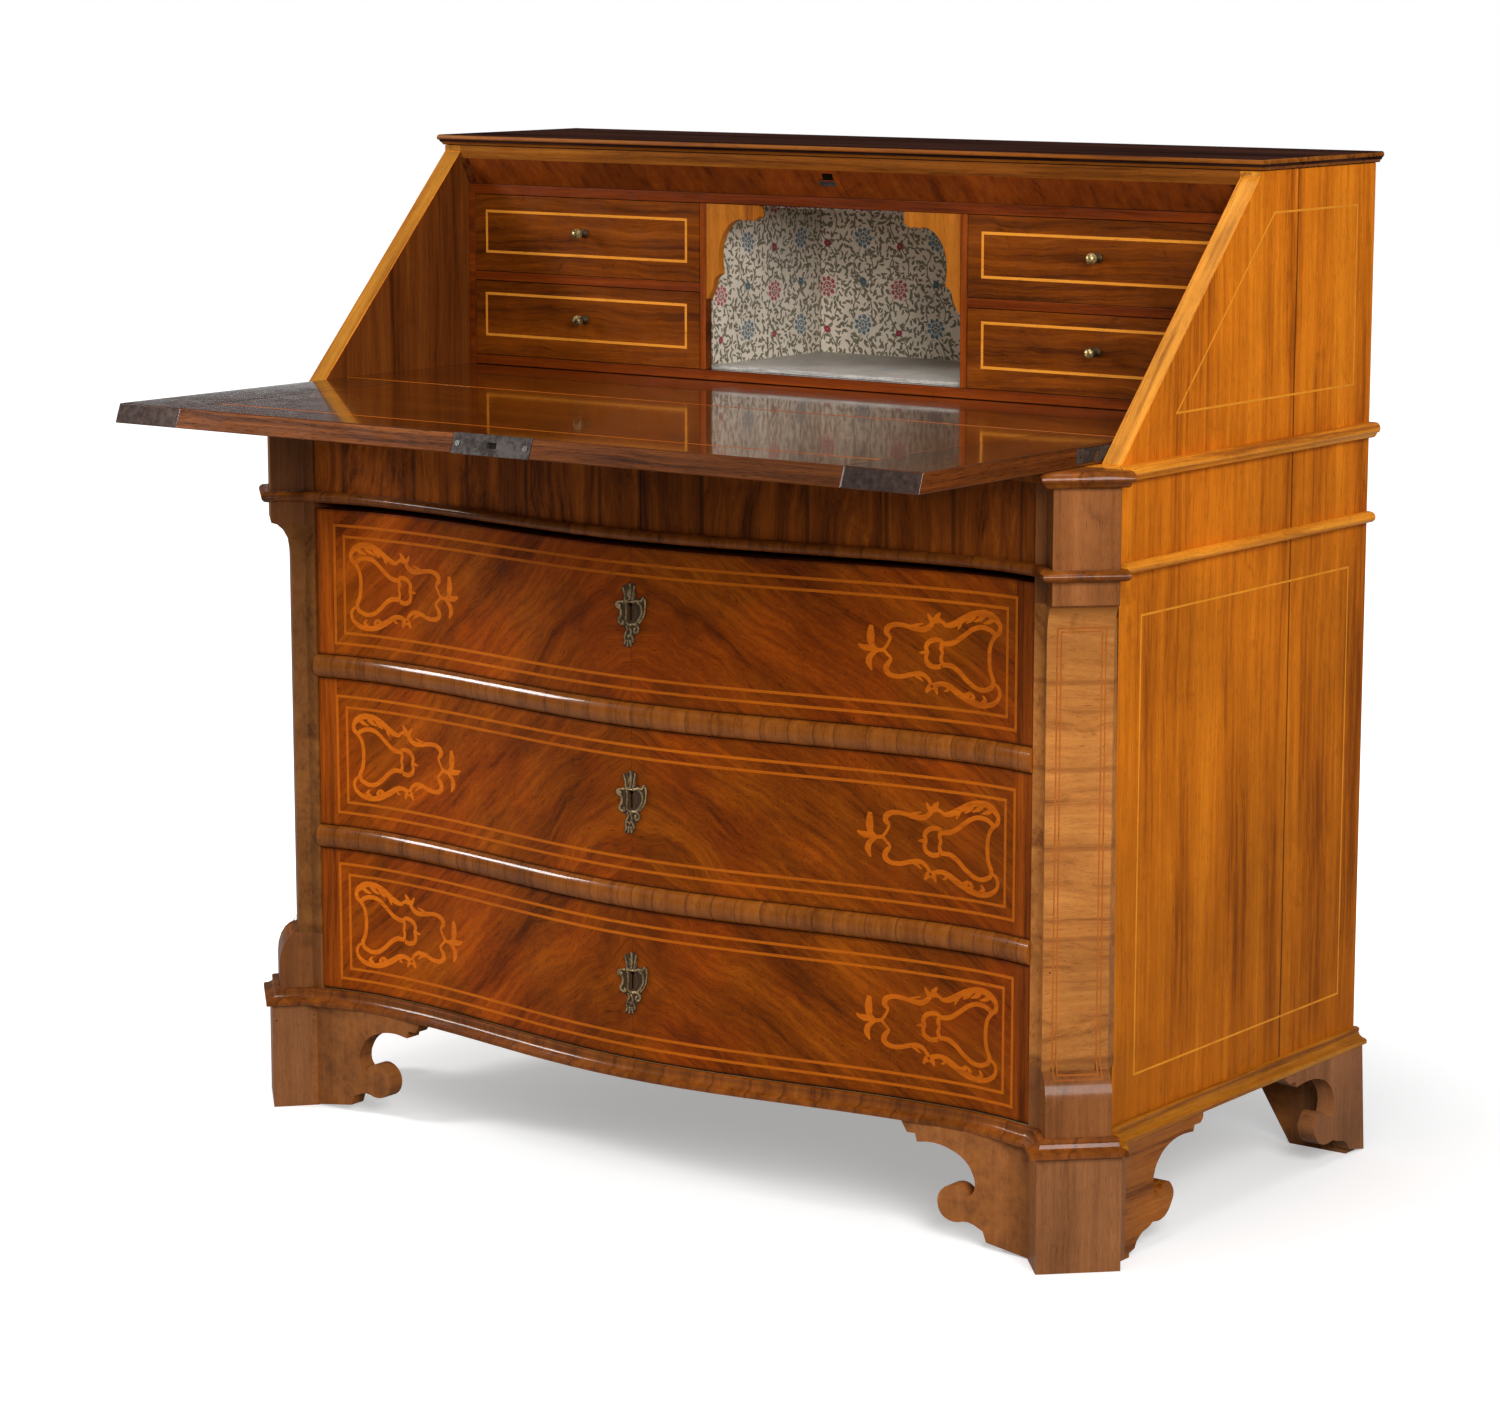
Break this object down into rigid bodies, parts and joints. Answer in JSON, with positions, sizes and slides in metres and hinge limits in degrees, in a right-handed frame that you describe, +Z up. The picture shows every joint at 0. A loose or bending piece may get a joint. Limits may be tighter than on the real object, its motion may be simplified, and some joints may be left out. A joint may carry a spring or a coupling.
{
  "type": "slant-front desk",
  "caption": "Walnut slant-front desk with a serpentine chest of long drawers, a fall that opens level, and a fitted interior of small drawers round a lined compartment.",
  "frame": {"origin": "on the floor, under the middle of the open desk: half way between its ends, and half way between the open fall's edge and the rear of the top", "axes": "+X to the right seen from the front, +Y to the back, +Z up"},
  "size_m": [1.1522, 0.8034, 1.07],
  "materials": {
    "side_walnut": "waxed walnut veneer, golden brown, straight vertical grain",
    "front_walnut": "figured walnut veneer, red-brown, waxed, with pale stringing and marquetry",
    "rail_walnut": "cross-banded walnut, mid brown, polished",
    "interior_walnut": "dark walnut with reddish edges, polished",
    "pale_wood": "pale orange fruitwood, satin",
    "carcass_pine": "plain softwood, unfinished",
    "lining_cloth": "cream floral cloth lining",
    "aged_brass": "cast brass, dark with age",
    "knob_brass": "turned brass, rubbed",
    "dark_iron": "wrought iron, dark, worn"
  },
  "bodies": {
    "case": {"back_panel": "carcass_pine", "base_moulding": "rail_walnut", "bottom_board": "carcass_pine", "compartment_lining": "lining_cloth", "corner_post_left": "rail_walnut", "corner_post_right": "rail_walnut", "drawer_rail_1": "rail_walnut", "drawer_rail_2": "rail_walnut", "dust_board_top": "carcass_pine", "foot_front_left": "rail_walnut", "foot_front_right": "rail_walnut", "foot_rear_left": "rail_walnut", "foot_rear_right": "rail_walnut", "frieze_rail": "rail_walnut", "front_ledge": "interior_walnut", "gallery_divider_left": "interior_walnut", "gallery_divider_right": "interior_walnut", "gallery_floor": "interior_walnut", "gallery_frame": "interior_walnut", "gallery_shelf_left": "interior_walnut", "gallery_shelf_right": "interior_walnut", "lower_moulding": "rail_walnut", "scalloped_bracket_left": "pale_wood", "scalloped_bracket_right": "pale_wood", "side_left": "side_walnut", "side_right": "side_walnut", "top_board": "side_walnut", "top_rail": "interior_walnut", "upper_moulding": "rail_walnut", "writing_bed": "interior_walnut"},
    "fall": {"fall_panel": "interior_walnut", "fall_batten_left": "interior_walnut", "fall_batten_right": "interior_walnut", "fall_lock": "dark_iron", "fall_hinge_left": "dark_iron", "fall_hinge_right": "dark_iron"},
    "fall_bolt": {"fall_bolt": "dark_iron"},
    "drawer_1": {"drawer_1_front": "front_walnut", "drawer_1_box": "carcass_pine", "drawer_1_lock": "dark_iron", "drawer_1_escutcheon": "aged_brass"},
    "drawer_1_bolt": {"drawer_1_bolt": "dark_iron"},
    "drawer_2": {"drawer_2_front": "front_walnut", "drawer_2_box": "carcass_pine", "drawer_2_lock": "dark_iron", "drawer_2_escutcheon": "aged_brass"},
    "drawer_2_bolt": {"drawer_2_bolt": "dark_iron"},
    "drawer_3": {"drawer_3_front": "front_walnut", "drawer_3_box": "carcass_pine", "drawer_3_lock": "dark_iron", "drawer_3_escutcheon": "aged_brass"},
    "drawer_3_bolt": {"drawer_3_bolt": "dark_iron"},
    "small_drawer_upper_left": {"small_drawer_upper_left": "interior_walnut", "small_knob_upper_left": "knob_brass"},
    "small_drawer_upper_right": {"small_drawer_upper_right": "interior_walnut", "small_knob_upper_right": "knob_brass"},
    "small_drawer_lower_left": {"small_drawer_lower_left": "interior_walnut", "small_knob_lower_left": "knob_brass"},
    "small_drawer_lower_right": {"small_drawer_lower_right": "interior_walnut", "small_knob_lower_right": "knob_brass"}
  },
  "joints": [
    {"name": "fall_hinge", "type": "hinge", "parent": "case", "child": "fall", "pos_m": [0, -0.06809, 0.7983], "axis": [1, 0, 0], "range_deg": [-133.8, 0]},
    {"name": "fall_bolt_slide", "type": "slide", "parent": "fall", "child": "fall_bolt", "axis": [0, -1, 0], "range_m": [0, 0.01]},
    {"name": "drawer_1_slide", "type": "slide", "parent": "case", "child": "drawer_1", "axis": [0, -1, 0], "range_m": [0, 0.35]},
    {"name": "drawer_1_bolt_slide", "type": "slide", "parent": "drawer_1", "child": "drawer_1_bolt", "axis": [0, 0, 1], "range_m": [0, 0.012]},
    {"name": "drawer_2_slide", "type": "slide", "parent": "case", "child": "drawer_2", "axis": [0, -1, 0], "range_m": [0, 0.35]},
    {"name": "drawer_2_bolt_slide", "type": "slide", "parent": "drawer_2", "child": "drawer_2_bolt", "axis": [0, 0, 1], "range_m": [0, 0.012]},
    {"name": "drawer_3_slide", "type": "slide", "parent": "case", "child": "drawer_3", "axis": [0, -1, 0], "range_m": [0, 0.35]},
    {"name": "drawer_3_bolt_slide", "type": "slide", "parent": "drawer_3", "child": "drawer_3_bolt", "axis": [0, 0, 1], "range_m": [0, 0.012]},
    {"name": "small_drawer_upper_left_slide", "type": "slide", "parent": "case", "child": "small_drawer_upper_left", "axis": [0, -1, 0], "range_m": [0, 0.15]},
    {"name": "small_drawer_upper_right_slide", "type": "slide", "parent": "case", "child": "small_drawer_upper_right", "axis": [0, -1, 0], "range_m": [0, 0.15]},
    {"name": "small_drawer_lower_left_slide", "type": "slide", "parent": "case", "child": "small_drawer_lower_left", "axis": [0, -1, 0], "range_m": [0, 0.15]},
    {"name": "small_drawer_lower_right_slide", "type": "slide", "parent": "case", "child": "small_drawer_lower_right", "axis": [0, -1, 0], "range_m": [0, 0.15]}
  ]
}
